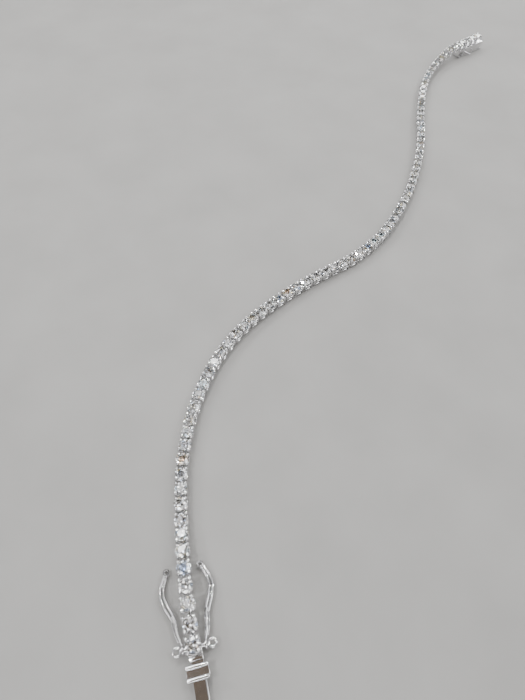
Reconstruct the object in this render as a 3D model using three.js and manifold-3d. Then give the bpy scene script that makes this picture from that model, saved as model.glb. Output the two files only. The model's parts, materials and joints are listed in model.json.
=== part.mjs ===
// Tennis bracelet, unclasped and laid out in an open S curve.
// Eighty equal four-prong settings run from the spring tongue to the clasp box.
// Millimetres, +Z up. The surface it lies on is z = 0.
import * as THREE from 'three';
import { mergeVertices } from 'three/addons/utils/BufferGeometryUtils.js';
import Module from 'manifold-3d';

const wasm = await Module();
wasm.setup();

// ---------------------------------------------------------------- driving dimensions
const PITCH = 2.2;                 // one setting to the next
const LINK_WIDTH = 2.1;            // outside width of a setting
const LINK_HEIGHT = 2.0;           // underside of the basket to the prong tips
const BOX_STONES = 4;              // settings soldered on the clasp box
const GAP = 0.3;                   // air between neighbouring pieces

const START_HEADING = 104;         // degrees from +X, tongue end towards the box end
const BENDS = [                    // route of the settings, each row one arc
  { length: 2.2, turn: 0 },        // the end setting carries the tongue
  { length: 17.8, turn: -8.5 },
  { length: 18, turn: -23 },
  { length: 18, turn: -29 },
  { length: 18, turn: -13 },
  { length: 18, turn: 28 },
  { length: 18, turn: 13 },
  { length: 18, turn: 10.5 },
  { length: 18, turn: -10 },
  { length: 11, turn: -17 },
  { length: 10.2, turn: -19 },
  { length: 8.8, turn: 0 },        // the clasp box is straight
];
const BOX_RISE = 1.8;              // the clasp box lifts its own settings this far
const TONGUE_RISE = 1.5;           // the tongue under the end setting lifts it this far
const CLIMB_LENGTH = 15;           // length of chain that climbs to either end

const BOX = { width: 2.5, wall: 0.3, lip: 0.4, slotDepth: 7.6, railHeight: 0.35, railWidth: 2.7 };
const POST = { fromMouth: 5.75, reach: 2.3, armRadius: 0.22, armHeight: 0.57, pinRadius: 0.17, ball: 0.27,
  top: 1.9 };

const NECK = { width: 1.85, length: 0.55, top: 1.3 };
const TONGUE = { width: 1.7, thick: 0.3, length: 7.2, bottom: 0.2 };
const LEAF = { width: 1.6, thick: 0.3, rear: -0.85, front: -2.65, noseHeight: 0.65, plateBottom: 1.3 };
const PRESS = { width: 2.9, plate: 0.35, bar: 0.5, top: 2.35, cheek: 0.3, cheekDrop: 0.45 };

const PIVOT = { along: 0.9, height: 1.05, pinRadius: 0.3, lugAt: 2.25, lugRadius: 0.66, lugWire: 0.18 };
const EYE = { inner: 0.4, outer: 0.62, near: 1.3, far: 1.62 };
const LEVER = { thick: 0.55, droop: 3.6, ringRadius: 0.52, ringHole: 0.21, slotHalf: 0.11 };
const LEVER_LINE = [               // centre line and half width of a lever, from its pivot
  { along: 0.3, out: 1.46, half: 0.16 },
  { along: 0.9, out: 1.68, half: 0.26 },
  { along: 2.1, out: 1.97, half: 0.34 },
  { along: 3.4, out: 2.13, half: 0.36 },
  { along: 4.3, out: 2.45, half: 0.38 },
  { along: 5.4, out: 2.94, half: 0.4 },
  { along: 6.6, out: 3.24, half: 0.39 },
  { along: 7.6, out: 3.12, half: 0.37 },
  { along: 8.5, out: 2.74, half: 0.34 },
  { along: 9.2, out: 2.42, half: 0.32 },
];
const LEVER_SLOT = { from: 4.0, to: 8.4 };
const RING_CENTRE = { along: 9.4, out: 2.3 };

const CHAIN_SIDES = { chamferTop: 0.45, chamferBottom: 0.3 };
const ROUND = 16;                  // sides of a small round feature

const whiteGold = (name, roughness) => {
  const material = new THREE.MeshStandardMaterial({ color: 0xd8d9dc, roughness, metalness: 1 });
  material.name = name;
  return material;
};
const polished = whiteGold('polished_white_gold', 0.1);
const stoneSet = new THREE.MeshStandardMaterial({ color: 0xe6eaef, roughness: 0.2, metalness: 0.6 });

// ---------------------------------------------------------------- route
const radians = THREE.MathUtils.degToRad;
const TOTAL = BENDS.reduce((sum, bend) => sum + bend.length, 0);
const BOX_START = TOTAL - BOX_STONES * PITCH;

// Place and heading on the route, a distance s from its tongue end.
function routeAt(s) {
  let x = 0;
  let y = 0;
  let heading = radians(START_HEADING);
  let left = s;
  for (const bend of BENDS) {
    const step = Math.min(left, bend.length);
    const turned = radians(bend.turn) * step / bend.length;
    const chord = Math.abs(turned) < 1e-9 ? step : step * Math.sin(turned / 2) / (turned / 2);
    x += chord * Math.cos(heading + turned / 2);
    y += chord * Math.sin(heading + turned / 2);
    heading += turned;
    left -= step;
    if (left <= 0) break;
  }
  const toBox = THREE.MathUtils.clamp(1 - (BOX_START - s) / CLIMB_LENGTH, 0, 1);
  const toTongue = THREE.MathUtils.clamp(1 - (s - PITCH) / CLIMB_LENGTH, 0, 1);
  const eased = (t) => t * t * (3 - 2 * t);
  const steepness = (t) => 6 * t * (1 - t) / CLIMB_LENGTH;
  const z = BOX_RISE * eased(toBox) + TONGUE_RISE * eased(toTongue);
  const slope = BOX_RISE * steepness(toBox) - TONGUE_RISE * steepness(toTongue);
  return { x, y, z, heading, slope };
}

// ---------------------------------------------------------------- solids
function toSolid(geometry) {
  const bare = geometry.clone();
  bare.deleteAttribute('normal');
  bare.deleteAttribute('uv');
  const merged = mergeVertices(bare, 1e-5);
  return new wasm.Manifold(new wasm.Mesh({
    numProp: 3,
    vertProperties: new Float32Array(merged.attributes.position.array),
    triVerts: new Uint32Array(merged.index.array),
  }));
}

function toGeometry(solid) {
  const mesh = solid.getMesh();
  const geometry = new THREE.BufferGeometry();
  geometry.setAttribute('position', new THREE.BufferAttribute(new Float32Array(mesh.vertProperties), 3));
  geometry.setIndex(new THREE.BufferAttribute(new Uint32Array(mesh.triVerts), 1));
  return geometry;
}

// Solders the pieces of the first list and cuts those of the second out of them.
function solder(pieces, cuts = []) {
  let solid = pieces.map(toSolid).reduce((all, piece) => all.add(piece));
  for (const cut of cuts) solid = solid.subtract(toSolid(cut));
  return toGeometry(solid);
}

function block({ x: [x0, x1], y: [y0, y1], z: [z0, z1] }) {
  const geometry = new THREE.BoxGeometry(x1 - x0, y1 - y0, z1 - z0);
  return geometry.translate((x0 + x1) / 2, (y0 + y1) / 2, (z0 + z1) / 2);
}

function ball(radius, x, y, z) {
  return new THREE.SphereGeometry(radius, ROUND, ROUND / 2).translate(x, y, z);
}

function uprightPin(radius, x, y, z0, z1) {
  const pin = new THREE.CylinderGeometry(radius, radius, z1 - z0, ROUND);
  return pin.rotateX(Math.PI / 2).translate(x, y, (z0 + z1) / 2);
}

function crossPin(radius, x0, x1, y, z) {
  const pin = new THREE.CylinderGeometry(radius, radius, x1 - x0, ROUND);
  return pin.rotateZ(Math.PI / 2).translate((x0 + x1) / 2, y, z);
}

// A flat plate with the outline of the given points, between two heights.
function plate(points, z0, z1) {
  const shape = new THREE.Shape(points.map(([x, y]) => new THREE.Vector2(x, y)));
  return new THREE.ExtrudeGeometry(shape, { depth: z1 - z0, bevelEnabled: false }).translate(0, 0, z0);
}

// Eight-sided cross-section of the row of settings, standing on z = 0.
function settingOutline() {
  const half = LINK_WIDTH / 2;
  const { chamferTop: top, chamferBottom: low } = CHAIN_SIDES;
  return [
    [-half + low, 0], [half - low, 0], [half, low], [half, LINK_HEIGHT - top],
    [half - top, LINK_HEIGHT], [-half + top, LINK_HEIGHT], [-half, LINK_HEIGHT - top], [-half, low],
  ];
}

// A straight row of settings along +Y, cut square at both ends.
function settingRow(y0, y1, lift, steps = 1) {
  const shape = new THREE.Shape(settingOutline().map(([x, z]) => new THREE.Vector2(x, z)));
  const row = new THREE.ExtrudeGeometry(shape, { depth: y1 - y0, steps, bevelEnabled: false });
  return row.rotateX(Math.PI / 2).translate(0, y1, lift);
}

// Lays a straight row, whose y is its distance along the route, onto the route.
function layOnRoute(row) {
  const position = row.attributes.position;
  for (let i = 0; i < position.count; i += 1) {
    const across = position.getX(i);
    const up = position.getZ(i);
    const at = routeAt(position.getY(i));
    const tilt = Math.atan(at.slope);
    const back = -Math.sin(tilt) * up;
    position.setXYZ(i,
      at.x + Math.sin(at.heading) * across + Math.cos(at.heading) * back,
      at.y - Math.cos(at.heading) * across + Math.sin(at.heading) * back,
      at.z + Math.cos(tilt) * up);
  }
  return row;
}

// ---------------------------------------------------------------- pieces
// Flexible row of hinged settings between the end setting and the clasp box.
function chain() {
  const y0 = PITCH + GAP;
  const y1 = BOX_START - GAP;
  return toGeometry(toSolid(layOnRoute(settingRow(y0, y1, 0, Math.round((y1 - y0) / PITCH)))));
}

// Clasp box: four settings on a rail plate over a hollow body, its mouth towards +Y.
function claspBox() {
  const length = BOX_STONES * PITCH;
  const mouth = length + BOX.lip;
  const half = BOX.width / 2;
  const floorTop = BOX.wall;
  const bodyTop = BOX_RISE;
  const postY = mouth - POST.fromMouth;
  const slot = block({
    x: [-half + BOX.wall, half - BOX.wall],
    y: [mouth - BOX.slotDepth, mouth + 1],
    z: [floorTop, bodyTop - BOX.wall / 2],
  });
  const rail = block({
    x: [-BOX.railWidth / 2, BOX.railWidth / 2],
    y: [0, mouth],
    z: [bodyTop - BOX.wall / 2, bodyTop + BOX.railHeight],
  });
  const body = block({ x: [-half, half], y: [0.15, mouth - 0.1], z: [0, bodyTop] });
  const arm = crossPin(POST.armRadius, -POST.reach, POST.reach, postY, POST.armHeight);
  const pieces = [body, rail, settingRow(0, length, BOX_RISE), arm];
  for (const side of [-1, 1]) {
    pieces.push(uprightPin(POST.pinRadius, side * POST.reach, postY, POST.armHeight, POST.top));
    pieces.push(ball(POST.ball, side * POST.reach, postY, POST.top));
  }
  return solder(pieces, [slot]);
}

// End setting with its neck, the tongue's lower strip and two lever pins with ring-shaped heads.
function tongueBase() {
  const half = TONGUE.width / 2;
  const wide = [-NECK.width / 2, NECK.width / 2];
  const neck = block({ x: wide, y: [-NECK.length, 0.1], z: [TONGUE.bottom, NECK.top] });
  const under = block({ x: wide, y: [0, PITCH - 0.2], z: [TONGUE.bottom, TONGUE_RISE + 0.1] });
  const nose = -TONGUE.length;
  const strip = plate(
    [[-half, 0], [-half, nose + 0.5], [-half + 0.4, nose], [half - 0.4, nose], [half, nose + 0.5],
      [half, 0]],
    TONGUE.bottom, TONGUE.bottom + TONGUE.thick);
  const pieces = [settingRow(0, PITCH, TONGUE_RISE), neck, under, strip];
  for (const side of [-1, 1]) {
    const lugRing = PIVOT.lugRadius - PIVOT.lugWire;
    const pinEnd = PIVOT.lugAt - lugRing;
    const [x0, x1] = [side * NECK.width / 4, side * pinEnd].sort((a, b) => a - b);
    pieces.push(crossPin(PIVOT.pinRadius, x0, x1, PIVOT.along, PIVOT.height));
    const lug = new THREE.TorusGeometry(lugRing, PIVOT.lugWire, ROUND / 2, ROUND);
    pieces.push(lug.translate(side * PIVOT.lugAt, PIVOT.along, PIVOT.height));
  }
  return solder(pieces);
}

// Spring leaf of the tongue with the ribbed thumb press at its free end.
function thumbPress() {
  const nose = -TONGUE.length + 0.2;
  const low = LEAF.noseHeight;
  const high = LEAF.plateBottom;
  const side = new THREE.Shape([
    [nose, low], [nose + 0.6, low], [LEAF.front + 0.4, high], [LEAF.rear, high],
    [LEAF.rear, high + LEAF.thick], [LEAF.front, high + LEAF.thick], [nose + 0.4, low + LEAF.thick],
    [nose, low + LEAF.thick * 0.7],
  ].map(([y, z]) => new THREE.Vector2(y, z)));
  const leaf = new THREE.ExtrudeGeometry(side, { depth: LEAF.width, bevelEnabled: false });
  leaf.rotateX(Math.PI / 2).rotateZ(Math.PI / 2).translate(-LEAF.width / 2, 0, 0);
  const wide = [-PRESS.width / 2, PRESS.width / 2];
  const pieces = [leaf, block({ x: wide, y: [LEAF.front, LEAF.rear], z: [high, high + PRESS.plate] })];
  for (const y0 of [LEAF.front, LEAF.rear - PRESS.bar]) {
    pieces.push(block({ x: wide, y: [y0, y0 + PRESS.bar], z: [high, PRESS.top] }));
  }
  for (const side of [-1, 1]) {
    const [x0, x1] = [side * PRESS.width / 2, side * (PRESS.width / 2 - PRESS.cheek)].sort((a, b) => a - b);
    pieces.push(block({ x: [x0, x1], y: [LEAF.front, LEAF.rear], z: [high - PRESS.cheekDrop, high + 0.2] }));
  }
  return solder(pieces);
}

// Figure-eight safety lever on the +X side, its pivot at the origin, lying along +Y.
function safetyLever() {
  const rows = LEVER_LINE;
  const curve = new THREE.CatmullRomCurve3(rows.map(({ along, out, half }) => new THREE.Vector3(out, along, half)));
  const points = curve.getPoints(3 * rows.length);
  const edge = (direction) => points.map((point, i) => {
    const before = points[Math.max(i - 1, 0)];
    const after = points[Math.min(i + 1, points.length - 1)];
    const normal = new THREE.Vector2(after.y - before.y, before.x - after.x).normalize();
    return [point.x + direction * point.z * normal.x, point.y + direction * point.z * normal.y];
  });
  const [z0, z1] = [-LEVER.thick / 2, LEVER.thick / 2];
  const band = plate([...edge(1), ...edge(-1).reverse()], z0, z1);
  const ring = uprightPin(LEVER.ringRadius, RING_CENTRE.out, RING_CENTRE.along, z0, z1);
  const eye = crossPin(EYE.outer, EYE.near, EYE.far, 0, 0);

  const middle = points.filter(({ y }) => y >= LEVER_SLOT.from && y <= LEVER_SLOT.to);
  const right = middle.map(({ x, y }) => [x + LEVER.slotHalf, y]);
  const left = middle.map(({ x, y }) => [x - LEVER.slotHalf, y]);
  const slot = plate([...right, ...left.reverse()], z0 - 1, z1 + 1);
  const ringHole = uprightPin(LEVER.ringHole, RING_CENTRE.out, RING_CENTRE.along, z0 - 1, z1 + 1);
  const bore = crossPin(EYE.inner, EYE.near - 1, EYE.far + 0.2, 0, 0);
  return solder([band, ring, eye], [slot, ringHole, bore]);
}

// ---------------------------------------------------------------- assembly
function mesh(name, geometry, material) {
  const piece = new THREE.Mesh(geometry, material);
  piece.name = name;
  return piece;
}

// A group at a distance along the route whose +Y follows the route there, on the surface.
function stationAt(s) {
  const at = routeAt(s);
  const group = new THREE.Group();
  group.position.set(at.x, at.y, 0);
  group.rotation.z = at.heading - Math.PI / 2;
  return group;
}

const bracelet = new THREE.Group();
bracelet.add(mesh('stone_chain', chain(), stoneSet));

const boxEnd = stationAt(BOX_START);
boxEnd.add(mesh('clasp_box', claspBox(), polished));
bracelet.add(boxEnd);

const tongueEnd = stationAt(0);
tongueEnd.add(mesh('tongue_base', tongueBase(), polished));
tongueEnd.add(mesh('thumb_press', thumbPress(), polished));
for (const [name, side] of [['safety_lever_right', 1], ['safety_lever_left', -1]]) {
  const geometry = safetyLever();
  const solid = side > 0 ? toSolid(geometry) : toSolid(geometry).mirror([1, 0, 0]);
  const lever = mesh(name, toGeometry(solid), polished);
  lever.position.set(0, PIVOT.along, PIVOT.height);
  lever.rotation.x = -radians(LEVER.droop);
  tongueEnd.add(lever);
}
bracelet.add(tongueEnd);

// The origin is the middle of the outline on the surface.
bracelet.updateMatrixWorld(true);
const outline = new THREE.Box3().setFromObject(bracelet, true);
const centre = outline.getCenter(new THREE.Vector3());
bracelet.position.set(-centre.x, -centre.y, 0);

export default bracelet;
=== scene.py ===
# Tennis bracelet: eighty round stones in four-prong settings, a box clasp at one end, and a
# spring tongue with two figure-eight safety levers at the other. It lies open in an S curve.
import json
import math

import bmesh
import bpy
from mathutils import Matrix, Vector


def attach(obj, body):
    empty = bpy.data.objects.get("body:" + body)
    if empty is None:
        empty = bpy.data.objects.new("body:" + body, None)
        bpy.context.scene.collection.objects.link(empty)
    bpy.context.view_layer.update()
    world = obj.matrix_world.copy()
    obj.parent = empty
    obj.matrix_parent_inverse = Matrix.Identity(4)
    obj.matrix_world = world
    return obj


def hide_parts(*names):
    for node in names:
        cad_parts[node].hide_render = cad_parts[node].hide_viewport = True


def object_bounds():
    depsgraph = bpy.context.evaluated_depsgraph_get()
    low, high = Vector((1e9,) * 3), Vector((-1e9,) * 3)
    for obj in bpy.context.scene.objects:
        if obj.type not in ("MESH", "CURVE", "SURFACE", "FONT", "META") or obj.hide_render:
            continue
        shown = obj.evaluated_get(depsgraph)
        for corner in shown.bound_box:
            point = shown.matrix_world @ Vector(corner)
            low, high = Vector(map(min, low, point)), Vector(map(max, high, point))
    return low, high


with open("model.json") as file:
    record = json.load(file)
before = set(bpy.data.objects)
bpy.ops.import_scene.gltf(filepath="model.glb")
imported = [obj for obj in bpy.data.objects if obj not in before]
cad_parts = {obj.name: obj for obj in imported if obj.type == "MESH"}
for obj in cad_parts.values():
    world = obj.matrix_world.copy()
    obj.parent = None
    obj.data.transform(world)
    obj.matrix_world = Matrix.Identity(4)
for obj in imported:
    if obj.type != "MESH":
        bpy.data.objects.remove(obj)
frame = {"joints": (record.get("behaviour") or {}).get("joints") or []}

cad_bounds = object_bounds()
MM = 0.001

# ---------------------------------------------------------------- sizes, in millimetres
PITCH = 2.2                        # one setting to the next
CHAIN_SETTINGS = 76                # hinged settings, the tongue's end setting included
BOX_SETTINGS = 4                   # settings soldered on the clasp box
START_HEADING = 104.0              # degrees from +X, tongue end towards the box end
BENDS = [                          # the row's route, each row one arc: length, turn in degrees
    (2.2, 0.0), (17.8, -8.5), (18.0, -23.0), (18.0, -29.0), (18.0, -13.0), (18.0, 28.0),
    (18.0, 13.0), (18.0, 10.5), (18.0, -10.0), (11.0, -17.0), (10.2, -19.0), (8.8, 0.0),
]
BOX_RISE = 1.8                     # height of the setting line on the clasp box
TONGUE_RISE = 1.5                  # height of the setting line over the tongue
CLIMB_LENGTH = 15.0                # how much of the row each rise takes
BOX_START = CHAIN_SETTINGS * PITCH

STONE_RADIUS = 0.97
STONE_SEAT = 1.5                   # girdle height above the setting line
PIVOT_ALONG, PIVOT_HEIGHT = 0.9, 1.05    # the levers' axis, from the tongue end
LUG_OUT = 2.25                     # ring head of a lever pin, from the middle
POST_OUT = 2.3                     # ball post, from the middle
POST_FROM_MOUTH = 5.75
PRESS_HALF = 1.44                  # half width of the thumb press
PRESS_REAR, PRESS_FRONT = -2.64, -0.87   # its far and near edge, from the tongue end
METAL_CREASE = 40.0                # degrees: edges past these stay sharp
SETTING_CREASE = 50.0

# Random lean and turn of one unit either way, in radians about its own X, Y and Z.
SETTING_PLAY, SETTING_SEED = (0.012, 0.02, 0.012), 3
STONE_PLAY, STONE_SEED = (0.09, 0.09, 0.8), 11


# ---------------------------------------------------------------- colours and nodes
def srgb(code):
    """Linear colour of an sRGB hex code such as 'C8C9CC'."""
    channels = [int(code[i:i + 2], 16) / 255 for i in (0, 2, 4)]
    return tuple(c / 12.92 if c <= 0.04045 else ((c + 0.055) / 1.055) ** 2.4 for c in channels) + (1.0,)


def add(tree, kind, inputs=None, **settings):
    """Adds a node to a tree. An input is a value, an output socket, or a list of output sockets."""
    node = tree.nodes.new(kind)
    for name, value in settings.items():
        setattr(node, name, value)
    for name, value in (inputs or {}).items():
        for one in reversed(value) if isinstance(value, list) else [value]:
            if isinstance(one, bpy.types.NodeSocket):
                tree.links.new(one, node.inputs[name])
            else:
                node.inputs[name].default_value = one
    return node


def new_material(name):
    material = bpy.data.materials.new(name)
    material.use_nodes = True
    material.node_tree.nodes.clear()
    return material, material.node_tree


def set_ramp(node, stops):
    """Colours of a ramp node, from (position, hex code) rows."""
    elements = node.color_ramp.elements
    while len(elements) < len(stops):
        elements.new(0.5)
    for element, (position, code) in zip(elements, stops):
        element.position = position
        element.color = srgb(code)


def polished_white_gold():
    """14 karat white gold, cast, mirror polished and rhodium plated: bright, cool and almost
    black where it mirrors the dark, with faint polishing waves that break up its highlights."""
    material, tree = new_material("polished_white_gold")
    place = add(tree, "ShaderNodeTexCoord").outputs["Object"]
    waves = add(tree, "ShaderNodeTexNoise", {"Vector": place, "Scale": 1 / (0.9 * MM), "Detail": 2.0})
    marks = add(tree, "ShaderNodeTexNoise", {"Vector": place, "Scale": 1 / (0.12 * MM), "Detail": 3.0})
    tone = add(tree, "ShaderNodeValToRGB", {"Fac": waves.outputs["Fac"]})
    set_ramp(tone, [(0.3, "DDDDDF"), (0.7, "E9E8E8")])
    haze = add(tree, "ShaderNodeMapRange", {
        "Value": marks.outputs["Fac"], "From Min": 0.3, "From Max": 0.7, "To Min": 0.05, "To Max": 0.13})
    swell = add(tree, "ShaderNodeBump", {
        "Height": waves.outputs["Fac"], "Strength": 0.25, "Distance": 0.02 * MM})
    metal = add(tree, "ShaderNodeBsdfPrincipled", {
        "Base Color": tone.outputs["Color"], "Metallic": 1.0, "Roughness": haze.outputs["Result"],
        "Normal": swell.outputs["Normal"]})
    add(tree, "ShaderNodeOutputMaterial", {"Surface": metal.outputs["BSDF"]})
    return material


def brilliant_cut_diamond():
    """Diamond, cut and polished: clear, with sharp facets that flash white or go dark. About
    three facets in ten get a painted spectral tint in their base colour, standing in for the coloured flashes
    of fire, drawn stone by stone."""
    material, tree = new_material("brilliant_cut_diamond")
    facet = add(tree, "ShaderNodeAttribute", attribute_name="facet").outputs["Fac"]
    stone = add(tree, "ShaderNodeAttribute", attribute_name="stone").outputs["Fac"]
    pair = add(tree, "ShaderNodeCombineXYZ", {"X": facet, "Y": stone})
    chance = add(tree, "ShaderNodeTexWhiteNoise", {"Vector": pair.outputs["Vector"]}, noise_dimensions="3D")
    # Painted fire: a random few facets of each stone get a spectral tint in their base colour, in place of
    # the coloured light a diamond splits; the rest stay clear white.
    painted_fire_tint = add(tree, "ShaderNodeValToRGB", {"Fac": chance.outputs["Value"]})
    painted_fire_tint.color_ramp.interpolation = "CONSTANT"
    set_ramp(painted_fire_tint, [(0.0, "FFFFFF"), (0.70, "E8F0FF"), (0.80, "FFF0C8"), (0.86, "C4E8FF"),
                    (0.91, "FFE08A"), (0.95, "A9C6FF"), (0.98, "FFC79A")])
    gem = add(tree, "ShaderNodeBsdfPrincipled", {
        "Base Color": painted_fire_tint.outputs["Color"], "Roughness": 0.0, "IOR": 2.417, "Transmission Weight": 1.0})
    add(tree, "ShaderNodeOutputMaterial", {"Surface": gem.outputs["BSDF"]})
    return material


def pale_paper():
    """Seamless studio paper: matt, pale, with a faint unevenness."""
    material, tree = new_material("pale_seamless_paper")
    place = add(tree, "ShaderNodeTexCoord").outputs["Object"]
    mottle = add(tree, "ShaderNodeTexNoise", {"Vector": place, "Scale": 1 / (14 * MM), "Detail": 3.0})
    tone = add(tree, "ShaderNodeValToRGB", {"Fac": mottle.outputs["Fac"]})
    set_ramp(tone, [(0.3, "848381"), (0.7, "8B8A88")])
    paper = add(tree, "ShaderNodeBsdfPrincipled", {"Base Color": tone.outputs["Color"], "Roughness": 0.75})
    add(tree, "ShaderNodeOutputMaterial", {"Surface": paper.outputs["BSDF"]})
    return material


WHITE_GOLD = polished_white_gold()
DIAMOND = brilliant_cut_diamond()


# ---------------------------------------------------------------- places
def turn_about_z(x_direction, origin):
    """A level frame in metres: its +X, its +Y a quarter turn on, and its origin."""
    x = Vector(x_direction).normalized()
    y = Vector((-x.y, x.x, 0.0))
    return Matrix(((x.x, y.x, 0, origin.x), (x.y, y.y, 0, origin.y), (0, 0, 1, origin.z), (0, 0, 0, 1)))


def joint(name):
    return next(j for j in frame["joints"] if j["name"] == name)


swing = joint("lever_right_swing")
level = turn_about_z(swing["axis"], Vector((0, 0, 0)))
pivot = Vector(swing["pos_m"])
TONGUE_END = turn_about_z(swing["axis"], pivot - level @ Vector((0, PIVOT_ALONG, PIVOT_HEIGHT)) * MM)


def eased(t):
    t = min(max(t, 0.0), 1.0)
    return t * t * (3 - 2 * t)


def route_at(s):
    """Point in metres, and heading, on the setting line at s millimetres from the tongue end."""
    x, y, heading, left = 0.0, 0.0, math.radians(START_HEADING), s
    for length, turn in BENDS:
        step = min(left, length)
        turned = math.radians(turn) * step / length
        chord = step if abs(turned) < 1e-9 else step * math.sin(turned / 2) / (turned / 2)
        x += chord * math.cos(heading + turned / 2)
        y += chord * math.sin(heading + turned / 2)
        heading += turned
        left -= step
        if left <= 0:
            break
    z = (BOX_RISE * eased(1 - (BOX_START - s) / CLIMB_LENGTH)
         + TONGUE_RISE * eased(1 - (s - PITCH) / CLIMB_LENGTH))
    return TONGUE_END.translation + Vector((x, y, z)) * MM, heading


box_corner, box_heading = route_at(BOX_START)
box_corner.z = 0.0
BOX_END = turn_about_z((math.sin(box_heading), -math.cos(box_heading), 0), box_corner)


# ---------------------------------------------------------------- shapes
def new_object(name, mesh, material=None):
    piece = bpy.data.objects.new(name, mesh)
    bpy.context.scene.collection.objects.link(piece)
    if material:
        mesh.materials.append(material)
    return piece


def shade(mesh, smooth=True):
    mesh.polygons.foreach_set("use_smooth", [smooth] * len(mesh.polygons))


def mesh_of(name, points, faces, smooth=True):
    """A mesh from points in millimetres."""
    mesh = bpy.data.meshes.new(name)
    mesh.from_pydata([tuple(Vector(p) * MM) for p in points], [], faces)
    shade(mesh, smooth)
    return mesh


def loft(rings):
    """Points and faces of a closed body through rings of equally many points."""
    count = len(rings[0])
    points = [p for ring in rings for p in ring]
    faces = []
    for i in range(len(rings) - 1):
        for k in range(count):
            a, b = i * count + k, i * count + (k + 1) % count
            faces.append((a, b, b + count, a + count))
    faces.append(tuple(reversed(range(count))))
    faces.append(tuple(range((len(rings) - 1) * count, len(rings) * count)))
    return points, faces


def ellipse(centre, across, up, half_width, half_height, count, power=1.0):
    """A ring of points round a centre, spanned by two directions. A power under 1 squares it up."""
    made = []
    for k in range(count):
        turn = 2 * math.pi * (k + 0.5) / count
        c, s = (math.copysign(abs(f(turn)) ** power, f(turn)) for f in (math.cos, math.sin))
        made.append(centre + across * half_width * c + up * half_height * s)
    return made


class Piece:
    """Closed bodies gathered in millimetres, then turned into one mesh object in its place."""

    def __init__(self):
        self.form = bmesh.new()

    def body(self, points, faces):
        verts = [self.form.verts.new(Vector(p)) for p in points]
        for face in faces:
            self.form.faces.new([verts[i] for i in face])

    def block(self, x, y, z, radius, segments=3):
        """A box with rounded edges."""
        made = bmesh.ops.create_cube(self.form, size=1.0)["verts"]
        size = Vector((x[1] - x[0], y[1] - y[0], z[1] - z[0]))
        middle = Vector((x[0] + x[1], y[0] + y[1], z[0] + z[1])) / 2
        for vert in made:
            vert.co = middle + Vector(a * b for a, b in zip(vert.co, size))
        edges = list({edge for vert in made for edge in vert.link_edges})
        bmesh.ops.bevel(self.form, geom=edges, offset=radius, segments=segments, profile=0.5, affect="EDGES")

    def turned(self, centre, axis, rows, count=32):
        """A body turned about an axis: rows of (distance along the axis, radius)."""
        axis = Vector(axis)
        across = axis.orthogonal().normalized()
        up = axis.cross(across)
        rings = [ellipse(Vector(centre) + axis * t, across, up, r, r, count) for t, r in rows]
        self.body(*loft(rings))

    def ball(self, centre, radius, rows, count):
        steps = [math.pi * (i + 0.5) / rows for i in range(rows)]
        self.turned(centre, (0, 0, 1), [(-radius * math.cos(a), radius * math.sin(a)) for a in steps], count)

    def ring(self, centre, axis, radius, half_width, half_height):
        """A closed ring round an axis, with an elliptical section."""
        count, sides = 32, 12
        axis = Vector(axis)
        across = axis.orthogonal().normalized()
        up = axis.cross(across)
        points, faces = [], []
        for i in range(count):
            a = 2 * math.pi * i / count
            out = across * math.cos(a) + up * math.sin(a)
            points += ellipse(Vector(centre) + out * radius, out, axis, half_width, half_height, sides)
            for k in range(sides):
                here, there = i * sides, (i + 1) % count * sides
                faces.append((here + k, here + (k + 1) % sides, there + (k + 1) % sides, there + k))
        self.body(points, faces)

    def sweep(self, path):
        """A squared-up bar along a level path: rows of (point, half width, half height)."""
        sides, squareness = 16, 0.5
        up = Vector((0, 0, 1))
        rings = []
        for i, (point, half_width, half_height) in enumerate(path):
            before = path[max(i - 1, 0)][0]
            after = path[min(i + 1, len(path) - 1)][0]
            across = (after - before).cross(up).normalized()
            rings.append(ellipse(point, across, up, half_width, half_height, sides, squareness))
        self.body(*loft(rings))

    def mesh(self, name, place, mirrored=False):
        """The gathered bodies as one smooth mesh in metres, in their place."""
        bmesh.ops.recalc_face_normals(self.form, faces=self.form.faces)
        if mirrored:
            bmesh.ops.scale(self.form, vec=(-1, 1, 1), verts=self.form.verts)
            bmesh.ops.reverse_faces(self.form, faces=self.form.faces)
        mesh = bpy.data.meshes.new(name)
        self.form.to_mesh(mesh)
        self.form.free()
        mesh.transform(place @ Matrix.Scale(MM, 4))
        shade(mesh)
        return mesh

    def finish(self, name, place, mirrored=False):
        """The mesh object in the bracelet's own frame, with sharp edges only past the crease."""
        mesh = self.mesh(name, place, mirrored)
        mesh.set_sharp_from_angle(angle=math.radians(METAL_CREASE))
        piece = new_object(name, mesh, WHITE_GOLD)
        piece.modifiers.new("Even shading on flats", "WEIGHTED_NORMAL").keep_sharp = True
        return plain(piece, name)


def plain(maker, name):
    """The evaluated mesh of an object as a new plain object; the maker goes."""
    mesh = bpy.data.meshes.new_from_object(maker.evaluated_get(bpy.context.evaluated_depsgraph_get()))
    bpy.data.objects.remove(maker)
    mesh.name = name
    return new_object(name, mesh)


# ---------------------------------------------------------------- geometry node trees
def new_tree(name, inputs):
    """A node tree with a geometry output and named inputs: rows of (name, socket type, default)."""
    tree = bpy.data.node_groups.new(name, "GeometryNodeTree")
    tree.interface.new_socket("Geometry", in_out="OUTPUT", socket_type="NodeSocketGeometry")
    tree.interface.new_socket("Geometry", in_out="INPUT", socket_type="NodeSocketGeometry")
    for label, kind, default in inputs:
        socket = tree.interface.new_socket(label, in_out="INPUT", socket_type="NodeSocket" + kind)
        if default is not None:
            socket.default_value = default
    return tree, add(tree, "NodeGroupInput").outputs


def grow(maker, tree, name, **values):
    """Runs a tree on an object with the given inputs, and returns its plain mesh as an object."""
    modifier = maker.modifiers.new(tree.name, "NODES")
    modifier.node_group = tree
    sockets = {item.name.lower().replace(" ", "_"): item.identifier
               for item in tree.interface.items_tree if item.in_out == "INPUT"}
    for label, value in values.items():
        modifier[sockets[label]] = value
    return plain(maker, name)


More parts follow.
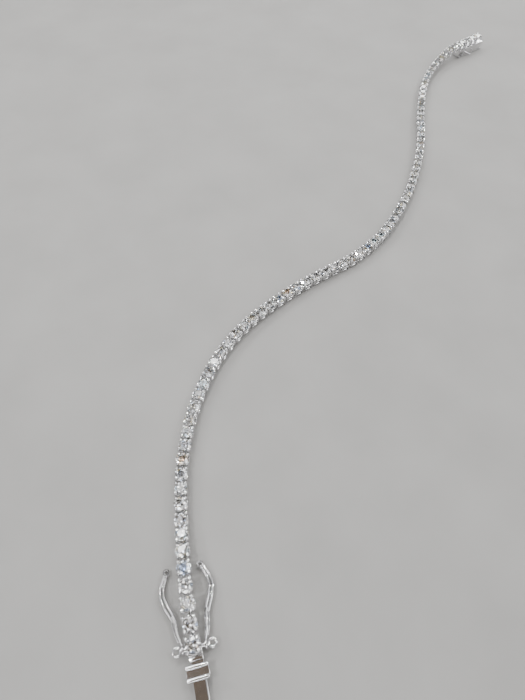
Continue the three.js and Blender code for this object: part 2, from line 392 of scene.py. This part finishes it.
def setting_tree():
    """One setting: two gallery rails, prongs round the stone's axis, and its hinge."""
    tree, given = new_tree("Four-prong setting", [
        ("Prong", "Object", None), ("Hinge", "Object", None), ("Prongs", "Int", 4),
        ("Corner Radius", "Float", 1.12 * MM), ("Rail Width", "Float", 1.66 * MM),
        ("Rail Rounding", "Float", 0.5 * MM), ("Rail Wire", "Float", 0.13 * MM),
        ("Lower Rail", "Float", 0.17 * MM), ("Upper Rail", "Float", 0.98 * MM),
        ("Material", "Material", None)])
    square = add(tree, "GeometryNodeCurvePrimitiveQuadrilateral",
                 {"Width": given["Rail Width"], "Height": given["Rail Width"]})
    rounded = add(tree, "GeometryNodeFilletCurve", {
        "Curve": square.outputs["Curve"], "Radius": given["Rail Rounding"], "Count": 3}, mode="POLY")
    wire = add(tree, "GeometryNodeCurvePrimitiveCircle", {"Resolution": 8, "Radius": given["Rail Wire"]})
    rail = add(tree, "GeometryNodeCurveToMesh",
               {"Curve": rounded.outputs["Curve"], "Profile Curve": wire.outputs["Curve"]})
    rails = []
    for height, spread in (("Lower Rail", 0.88), ("Upper Rail", 1.0)):
        lift = add(tree, "ShaderNodeCombineXYZ", {"Z": given[height]})
        rails.append(add(tree, "GeometryNodeTransform", {
            "Geometry": rail.outputs["Mesh"], "Translation": lift.outputs["Vector"],
            "Scale": (spread, spread, 1.0)}).outputs["Geometry"])
    corners = add(tree, "GeometryNodeMeshCircle",
                  {"Vertices": given["Prongs"], "Radius": given["Corner Radius"]})
    turned = add(tree, "GeometryNodeTransform",
                 {"Geometry": corners.outputs["Mesh"], "Rotation": (0.0, 0.0, math.pi / 4)})
    step = add(tree, "ShaderNodeMath", {0: 2 * math.pi, 1: given["Prongs"]}, operation="DIVIDE")
    index = add(tree, "GeometryNodeInputIndex")
    angle = add(tree, "ShaderNodeMath", {0: index.outputs["Index"], 1: step.outputs["Value"], 2: math.pi / 4},
                operation="MULTIPLY_ADD")
    facing = add(tree, "ShaderNodeCombineXYZ", {"Z": angle.outputs["Value"]})
    prong = add(tree, "GeometryNodeObjectInfo", {"Object": given["Prong"]})
    outward = add(tree, "FunctionNodeEulerToRotation", {"Euler": facing.outputs["Vector"]})
    prongs = add(tree, "GeometryNodeInstanceOnPoints", {
        "Points": turned.outputs["Geometry"], "Instance": prong.outputs["Geometry"],
        "Rotation": outward.outputs["Rotation"]})
    hinge = add(tree, "GeometryNodeObjectInfo", {"Object": given["Hinge"]})
    whole = add(tree, "GeometryNodeJoinGeometry",
                {"Geometry": rails + [prongs.outputs["Instances"], hinge.outputs["Geometry"]]})
    solid = add(tree, "GeometryNodeRealizeInstances", {"Geometry": whole.outputs["Geometry"]})
    coated = add(tree, "GeometryNodeSetMaterial", {"Geometry": solid.outputs["Geometry"],
                                                   "Material": given["Material"]})
    add(tree, "NodeGroupOutput", {"Geometry": coated.outputs["Geometry"]})
    return tree


def row_tree():
    """A row of one unit, evenly spaced along the route, each unit leant and turned a little."""
    tree, given = new_tree("Row along the route", [
        ("Unit", "Object", None), ("Count", "Int", 10), ("Seed", "Int", 1),
        ("Play", "Vector", (0.0, 0.0, 0.0)), ("Material", "Material", None)])
    curve = add(tree, "GeometryNodeMeshToCurve", {"Mesh": given["Geometry"]})
    upright = add(tree, "GeometryNodeSetCurveNormal", {"Curve": curve.outputs["Curve"]}, mode="Z_UP")
    seats = add(tree, "GeometryNodeCurveToPoints",
                {"Curve": upright.outputs["Curve"], "Count": given["Count"]}, mode="COUNT")
    # A curve point's own Z runs along the route; this stands the unit up with +Y along it.
    stand = add(tree, "FunctionNodeEulerToRotation", {"Euler": (math.pi / 2, 0.0, 0.0)})
    standing = add(tree, "FunctionNodeRotateRotation", {
        "Rotation": seats.outputs["Rotation"], "Rotate By": stand.outputs["Rotation"]},
        rotation_space="LOCAL")
    flipped = add(tree, "ShaderNodeVectorMath", {0: given["Play"], 1: (-1.0, -1.0, -1.0)},
                  operation="MULTIPLY")
    play = add(tree, "FunctionNodeRandomValue", {
        "Min": flipped.outputs["Vector"], "Max": given["Play"], "Seed": given["Seed"]},
        data_type="FLOAT_VECTOR")
    play_turn = add(tree, "FunctionNodeEulerToRotation", {"Euler": play.outputs["Value"]})
    placed = add(tree, "FunctionNodeRotateRotation", {
        "Rotation": standing.outputs["Rotation"], "Rotate By": play_turn.outputs["Rotation"]},
        rotation_space="LOCAL")
    unit = add(tree, "GeometryNodeObjectInfo", {"Object": given["Unit"]})
    units = add(tree, "GeometryNodeInstanceOnPoints", {
        "Points": seats.outputs["Points"], "Instance": unit.outputs["Geometry"],
        "Rotation": placed.outputs["Rotation"]})
    number = add(tree, "GeometryNodeInputIndex")
    named = add(tree, "GeometryNodeStoreNamedAttribute", {
        "Geometry": units.outputs["Instances"], "Name": "stone", "Value": number.outputs["Index"]},
        domain="INSTANCE")
    solid = add(tree, "GeometryNodeRealizeInstances", {"Geometry": named.outputs["Geometry"]})
    coated = add(tree, "GeometryNodeSetMaterial", {"Geometry": solid.outputs["Geometry"],
                                                   "Material": given["Material"]})
    add(tree, "NodeGroupOutput", {"Geometry": coated.outputs["Geometry"]})
    return tree


# ---------------------------------------------------------------- units of the row
def brilliant_mesh():
    """A round brilliant: table, eight stars, eight kites, sixteen upper and sixteen lower halves,
    a thin girdle and eight mains. Its girdle is at the stone's seat above the setting line."""
    radius, table, crown, pavilion, girdle = STONE_RADIUS, 0.56, 0.31, 0.82, 0.04
    star, low = 0.80, 0.24
    half_turn = math.pi / 8

    def at(step, reach, height):
        angle = step * half_turn
        return (radius * reach * math.cos(angle), radius * reach * math.sin(angle), STONE_SEAT + height)

    star_height = girdle / 2 + crown * (1 - star * math.cos(half_turn)) / (1 - table)
    low_height = -girdle / 2 - pavilion * (1 - low * math.cos(half_turn))
    points = [at(2 * k, table, crown + girdle / 2) for k in range(8)]
    points += [at(2 * k + 1, star, star_height) for k in range(8)]
    points += [at(k, 1.0, girdle / 2) for k in range(16)]
    points += [at(k, 1.0, -girdle / 2) for k in range(16)]
    points += [at(2 * k + 1, low, low_height) for k in range(8)]
    points.append((0.0, 0.0, STONE_SEAT - girdle / 2 - pavilion))
    stars, upper, lower, lows, culet = 8, 16, 32, 48, 56     # where each ring of points starts
    down = lower - upper
    faces = [tuple(range(8))]
    for k in range(8):
        after, before = (k + 1) % 8, (k - 1) % 8
        rim, rim_next, rim_last = (upper + (2 * k + i) % 16 for i in (0, 1, -1))
        faces.append((k, stars + k, after))
        faces.append((k, stars + before, rim, stars + k))
        faces.append((stars + k, rim, rim_next))
        faces.append((stars + before, rim_last, rim))
        faces.append((rim + down, lows + k, rim_next + down))
        faces.append((rim_last + down, lows + before, rim + down))
        faces.append((culet, lows + k, rim + down, lows + before))
    for k in range(16):
        after = (k + 1) % 16
        faces.append((upper + k, lower + k, lower + after, upper + after))
    mesh = mesh_of("brilliant", points, faces, smooth=False)
    form = bmesh.new()
    form.from_mesh(mesh)
    bmesh.ops.recalc_face_normals(form, faces=form.faces)
    form.to_mesh(mesh)
    form.free()
    mesh.attributes.new("facet", "FLOAT", "FACE").data.foreach_set("value", range(len(mesh.polygons)))
    return mesh


def prong_mesh():
    """A prong: a round wire that thickens upwards and ends in a bead bent over the girdle."""
    rows = [(0.0, 0.1, 0.12), (0.02, 0.55, 0.14), (0.04, 1.0, 0.16), (0.03, 1.4, 0.19),
            (-0.02, 1.6, 0.23), (-0.09, 1.74, 0.25), (-0.16, 1.86, 0.22), (-0.19, 1.94, 0.13)]
    x, y = Vector((1, 0, 0)), Vector((0, 1, 0))
    rings = [ellipse(Vector((out, 0, z)), x, y, r, r, 10) for out, z, r in rows]
    return mesh_of("prong", *loft(rings))


def hinge_mesh():
    """The hinge to the next setting: a crosswise barrel with a tab from either side."""
    piece = Piece()
    half = PITCH / 2
    piece.turned((-0.42, half, 0.42), (1, 0, 0), [(0.0, 0.12), (0.03, 0.15), (0.81, 0.15), (0.84, 0.12)], 10)
    piece.block((-0.2, 0.2), (half - 0.5, half + 0.5), (0.3, 0.46), 0.04, 1)
    return piece.mesh("hinge", Matrix.Identity(4))


def route_line(first, last):
    """The route from one setting's middle to another's, as a line of short edges."""
    start, end = (first + 0.5) * PITCH, (last + 0.5) * PITCH
    steps = int((end - start) / 0.4)
    mesh = bpy.data.meshes.new("route")
    mesh.from_pydata([route_at(start + (end - start) * i / steps)[0] for i in range(steps + 1)],
                     [(i, i + 1) for i in range(steps)], [])
    return new_object("route", mesh)


def stone_row():
    """Three rows grown along the route: the hinged settings, the soldered ones and the stones."""
    setting, row = setting_tree(), row_tree()
    prong = new_object("prong", prong_mesh())
    hinge = new_object("hinge", hinge_mesh())
    nothing = new_object("nothing", bpy.data.meshes.new("nothing"))
    stone = new_object("brilliant", brilliant_mesh())
    last = CHAIN_SETTINGS + BOX_SETTINGS - 1
    settings = []
    for name, link, first, final in (("hinged_setting", hinge, 0, CHAIN_SETTINGS - 1),
                                     ("soldered_setting", nothing, CHAIN_SETTINGS, last)):
        unit = grow(new_object("seed", bpy.data.meshes.new("seed")), setting, name,
                    prong=prong, hinge=link, material=WHITE_GOLD)
        settings.append(grow(route_line(first, final), row, name + "s", unit=unit, count=final - first + 1,
                             play=SETTING_PLAY, seed=SETTING_SEED, material=WHITE_GOLD))
        bpy.data.objects.remove(unit)
    stones = grow(route_line(0, last), row, "diamonds", unit=stone, count=last + 1,
                  play=STONE_PLAY, seed=STONE_SEED, material=DIAMOND)
    for tool in (prong, hinge, nothing, stone):
        bpy.data.objects.remove(tool)
    for piece in settings:
        shade(piece.data)
        piece.data.set_sharp_from_angle(angle=math.radians(SETTING_CREASE))
    return settings, stones


# ---------------------------------------------------------------- clasp pieces
def neck_and_tongue():
    """The block under the end setting, its neck, the tongue's lower strip and the lever pins,
    each with a flat ring for a head."""
    piece = Piece()
    piece.block((-0.92, 0.92), (-0.55, 0.12), (0.2, 1.3), 0.12)
    piece.block((-0.92, 0.92), (0.0, 2.0), (0.2, 1.6), 0.12)
    piece.block((-0.84, 0.84), (-7.15, 0.0), (0.2, 0.5), 0.1)
    for side in (-1, 1):
        piece.turned((0, PIVOT_ALONG, PIVOT_HEIGHT), (side, 0, 0), [(0.5, 0.3), (1.64, 0.3), (1.74, 0.2)])
        piece.ring((side * LUG_OUT, PIVOT_ALONG, PIVOT_HEIGHT), (0, 0, 1), 0.47, 0.18, 0.17)
    return piece.finish("neck_and_tongue", TONGUE_END)


def spring_leaf():
    """The tongue's sprung upper leaf with its thumb press: two rounded bars across a dished plate."""
    piece = Piece()
    across, up = Vector((1, 0, 0)), Vector((0, 0, 1))
    line = [(-6.98, 0.8), (-6.4, 0.83), (-4.5, 1.12), (-2.6, 1.42), (-2.2, 1.45), (-0.95, 1.45)]
    rings = []
    for y, z in line:
        rings.append([Vector((x, y, z + h)) for x, h in (
            (-0.8, -0.06), (-0.72, -0.14), (0.72, -0.14), (0.8, -0.06),
            (0.8, 0.06), (0.72, 0.14), (-0.72, 0.14), (-0.8, 0.06))])
    piece.body(*loft(rings))
    piece.block((-PRESS_HALF, PRESS_HALF), (PRESS_REAR, PRESS_FRONT), (1.31, 1.64), 0.1)
    for y in ((PRESS_REAR, -2.15), (-1.36, PRESS_FRONT)):
        piece.block((-PRESS_HALF, PRESS_HALF), y, (1.35, 2.34), 0.2, 4)
    for x in ((-PRESS_HALF, -1.16), (1.16, PRESS_HALF)):
        piece.block(x, (-2.62, -0.89), (0.88, 1.6), 0.12)
    return piece.finish("spring_leaf_and_thumb_press", TONGUE_END)


LEVER_LINE = [                     # from the levers' axis: along, out from the middle, half width
    (0.3, 1.46, 0.16), (0.9, 1.68, 0.26), (2.1, 1.97, 0.34), (3.4, 2.13, 0.36), (4.3, 2.45, 0.38),
    (5.4, 2.94, 0.4), (6.6, 3.24, 0.39), (7.6, 3.12, 0.37), (8.5, 2.74, 0.34), (9.2, 2.42, 0.32)]
LEVER_DROOP = 3.6                  # degrees down from level, at rest
RING_ALONG, RING_OUT = 9.4, 2.3    # middle of the little ring at the tip
BAND_END, STRANDS_START = 4.1, 3.4
STRAND_HALF = 0.16
WIRE_FROM = 6                      # first step of the band that has the fine wire beside it


def smooth_line(rows, steps):
    """A smooth curve through rows of numbers, as many steps between each pair."""
    made = []
    for i in range(len(rows) - 1):
        a, b, c, d = (Vector(rows[min(max(i + k, 0), len(rows) - 1)]) for k in (-1, 0, 1, 2))
        for k in range(steps):
            t = k / steps
            made.append(0.5 * (2 * b + (c - a) * t + (2 * a - 5 * b + 4 * c - d) * t * t
                               + (3 * b - 3 * c + d - a) * t ** 3))
    return made + [Vector(rows[-1])]


def safety_lever(name, mirrored):
    """A figure-eight safety lever: a flat band with a fine wire beside it runs from the eye and
    splits into two strands, which part round the bulge and meet in the little ring at the tip."""
    piece = Piece()
    line = smooth_line(LEVER_LINE, 6)
    band = [row for row in line if row[0] <= BAND_END]
    piece.sweep([(Vector((out - 0.09, along, 0)), half - 0.09, 0.26) for along, out, half in band])
    piece.sweep([(Vector((out + half - 0.07, along, 0)), 0.07, 0.2) for along, out, half in band[WIRE_FROM:]])
    strand = [row for row in line if row[0] >= STRANDS_START]
    for side in (-1, 1):
        path = []
        for i, (along, out, half) in enumerate(strand):
            after = strand[min(i + 1, len(strand) - 1)]
            before = strand[max(i - 1, 0)]
            normal = Vector((after[0] - before[0], before[1] - after[1], 0)).normalized()
            middle = Vector((out, along, 0)) + normal * side * (half - STRAND_HALF)
            path.append((middle, STRAND_HALF, 0.25))
        piece.sweep(path)
    piece.ring((RING_OUT, RING_ALONG, 0), (0, 0, 1), 0.36, 0.16, 0.26)
    piece.ring((1.46, 0, 0), (1, 0, 0), 0.51, 0.11, 0.16)
    droop = Matrix.Rotation(-math.radians(LEVER_DROOP), 4, "X")
    place = TONGUE_END @ Matrix.Translation(Vector((0, PIVOT_ALONG, PIVOT_HEIGHT)) * MM) @ droop
    return piece.finish(name, place, mirrored)


def clasp_box():
    """The clasp's hollow box with its rail plate, and the ball posts that the levers snap over."""
    piece = Piece()
    length = BOX_SETTINGS * PITCH
    mouth = length + 0.4
    piece.block((-1.25, 1.25), (0.15, mouth - 0.1), (0.0, 0.3), 0.08)
    for x in ((-1.17, -0.9), (0.9, 1.17)):
        piece.block(x, (0.15, mouth - 0.1), (0.0, 1.8), 0.08)
    piece.block((-1.17, 1.17), (0.15, 1.55), (0.0, 1.8), 0.08)
    piece.block((-1.34, 1.34), (0.0, mouth), (1.65, 2.14), 0.12)
    piece.block((-1.02, 1.02), (0.0, 0.22), (1.7, 3.3), 0.08)
    post = mouth - POST_FROM_MOUTH
    piece.turned((-POST_OUT, post, 0.57), (1, 0, 0), [(0.0, 0.2), (2 * POST_OUT, 0.2)], 16)
    for side in (-1, 1):
        piece.turned((side * POST_OUT, post, 0.4), (0, 0, 1), [(0.0, 0.17), (1.5, 0.17)], 16)
        piece.ball((side * POST_OUT, post, 1.9), 0.26, 10, 20)
    return piece.finish("clasp_box_body", BOX_END)


# ---------------------------------------------------------------- studio
LENS, SENSOR_WIDTH = 25.36, 36.0   # millimetres
CAMERA_HEIGHT = 0.07212            # metres
CAMERA_PITCH = 57.1                # degrees down from level
DOME_STRENGTH = 2.4
PLAIN_BELOW = (0.62, 0.70)         # height on the dome where its plain lower part gives way
OVERHEAD, OVERHEAD_EDGE = (0.0, -0.17, 0.985), (0.945, 0.96)   # middle and edge of the brown patch
FLOOR_HALF = 3000                  # millimetres
FLOOR_DROP = 0.02                  # how far the floor lies under the bracelet, in millimetres
GLINT_SIZE, GLINT_WATTS = (0.015, 0.015), 0.35


def camera_and_light():
    """The camera, a patched dome that gives polished metal and stones something to mirror, soft
    lamps, small glint lamps and the paper floor."""
    low, high = (Vector(corner) for corner in cad_bounds)
    span = high - low
    eye = bpy.data.cameras.new("camera")
    eye.lens, eye.sensor_width = LENS, SENSOR_WIDTH
    eye.clip_start = 0.002
    camera = new_object("camera", eye)
    camera.location = (low.x + 0.1785 * span.x, low.y + 0.0363 * span.y, CAMERA_HEIGHT)
    camera.rotation_euler = (math.radians(90 - CAMERA_PITCH), 0, 0)
    bpy.context.scene.camera = camera

    world = bpy.data.worlds.new("studio")
    bpy.context.scene.world = world
    world.use_nodes = True
    tree = world.node_tree
    tree.nodes.clear()
    ray = add(tree, "ShaderNodeTexCoord").outputs["Generated"]
    height = add(tree, "ShaderNodeSeparateXYZ", {"Vector": ray}).outputs["Z"]
    panels = add(tree, "ShaderNodeTexNoise", {"Vector": ray, "Scale": 9.0, "Detail": 1.0})
    room = add(tree, "ShaderNodeValToRGB", {"Fac": panels.outputs["Fac"]})
    set_ramp(room, [(0.50, "060607"), (0.53, "3A3A3C"), (0.56, "FFFFFF")])
    canopy = add(tree, "ShaderNodeVectorMath", {0: ray, 1: OVERHEAD}, operation="DOT_PRODUCT")
    overhead = add(tree, "ShaderNodeMapRange", {
        "Value": canopy.outputs["Value"], "From Min": OVERHEAD_EDGE[0], "From Max": OVERHEAD_EDGE[1]})
    ceiling = add(tree, "ShaderNodeMix", {
        "Factor": overhead.outputs["Result"], "A": room.outputs["Color"], "B": srgb("4E463E")},
        data_type="RGBA")
    above = add(tree, "ShaderNodeMapRange", {
        "Value": height, "From Min": PLAIN_BELOW[0], "From Max": PLAIN_BELOW[1]})
    walls = add(tree, "ShaderNodeMix", {
        "Factor": above.outputs["Result"], "A": srgb("7C7C7C"), "B": ceiling.outputs["Result"]},
        data_type="RGBA")
    sky = add(tree, "ShaderNodeBackground", {"Color": walls.outputs["Result"], "Strength": DOME_STRENGTH})
    add(tree, "ShaderNodeOutputWorld", {"Surface": sky.outputs["Background"]})

    lamps = [                      # name, place, size in metres, watts
        ("key_softbox", (-0.25, 0.25, 0.40), (0.20, 0.20), 1.3),
        ("fill_softbox", (0.35, -0.05, 0.30), (0.12, 0.25), 0.6),
        ("rim_strip", (0.10, 0.45, 0.18), (0.45, 0.05), 0.8),
        ("front_strip", (-0.05, -0.40, 0.22), (0.30, 0.04), 0.5),
    ]
    glints = [(-0.14, -0.10, 0.30), (0.12, 0.05, 0.35), (0.02, 0.22, 0.33), (-0.06, 0.08, 0.36),
              (0.20, 0.20, 0.25), (-0.28, 0.02, 0.20)]
    for number, place in enumerate(glints, 1):
        lamps.append((f"glint_{number}", place, GLINT_SIZE, GLINT_WATTS))
    for name, place, size, watts in lamps:
        light = bpy.data.lights.new(name, "AREA")
        light.shape = "RECTANGLE"
        light.size, light.size_y = size
        light.energy = watts
        lamp = new_object(name, light)
        lamp.location = place
        lamp.rotation_euler = (-Vector(place)).to_track_quat("-Z", "Y").to_euler()

    corners = [(x * FLOOR_HALF, y * FLOOR_HALF, 0) for x, y in ((-1, -1), (1, -1), (1, 1), (-1, 1))]
    floor = new_object("floor", mesh_of("floor", corners, [(0, 1, 2, 3)]), pale_paper())
    floor.location.z = -FLOOR_DROP * MM


# ---------------------------------------------------------------- assembly
def mount(piece, body, slot, *nodes):
    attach(piece, body)
    if nodes:
        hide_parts(*nodes)


camera_and_light()
(hinged, soldered), stones = stone_row()
mount(hinged, "root", "polished_white_gold", "stone_chain")
mount(soldered, "root", "polished_white_gold")
mount(stones, "root", "diamond")
mount(clasp_box(), "root", "polished_white_gold", "clasp_box")
mount(neck_and_tongue(), "root", "polished_white_gold", "tongue_base")
mount(spring_leaf(), "press", "polished_white_gold", "thumb_press")
mount(safety_lever("lever_right", False), "lever_right", "polished_white_gold", "safety_lever_right")
mount(safety_lever("lever_left", True), "lever_left", "polished_white_gold", "safety_lever_left")
